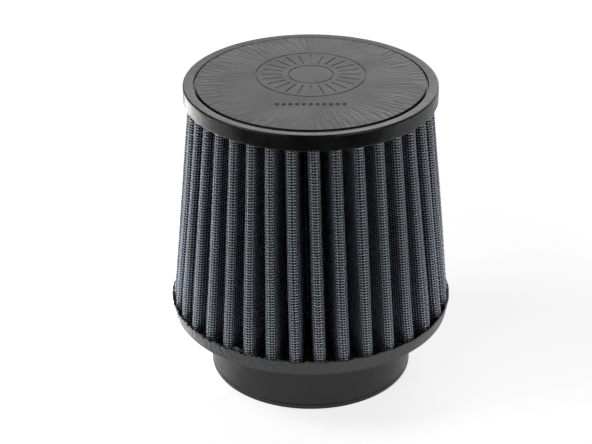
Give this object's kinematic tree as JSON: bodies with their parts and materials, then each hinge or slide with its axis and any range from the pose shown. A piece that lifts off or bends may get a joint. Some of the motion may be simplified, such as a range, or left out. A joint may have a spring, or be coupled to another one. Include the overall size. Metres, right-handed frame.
{
  "type": "air filter",
  "caption": "Tapered pod intake filter: pleated wire-backed media between a moulded rubber base with clamp-on neck and a rubber-ringed cap plate.",
  "frame": {"origin": "centre of the neck's mouth, where the filter stands on the floor", "axes": "+Z along the filter's axis from the neck to the cap; +X and +Y across it, with -Y facing the viewer"},
  "size_m": [0.1524, 0.1524, 0.1671],
  "materials": {
    "moulded_rubber": "matt cast polyurethane, black",
    "plate_plastic": "satin black with faint radial ripples",
    "coated_wire": "satin black epoxy coat",
    "gauze": "matt black gauze",
    "clip_metal": "mill",
    "adhesive": "matt"
  },
  "bodies": {
    "root": {"base_flange": "moulded_rubber", "top_cap": "moulded_rubber", "top_plate": "plate_plastic", "plate_adhesive": "adhesive", "outer_screen": "coated_wire", "inner_screen": "coated_wire", "gauze_ply_1": "gauze", "gauze_ply_2": "gauze", "gauze_ply_3": "gauze", "gauze_ply_4": "gauze", "seam_clip": "clip_metal", "seam_sealant": "adhesive"}
  },
  "joints": []
}
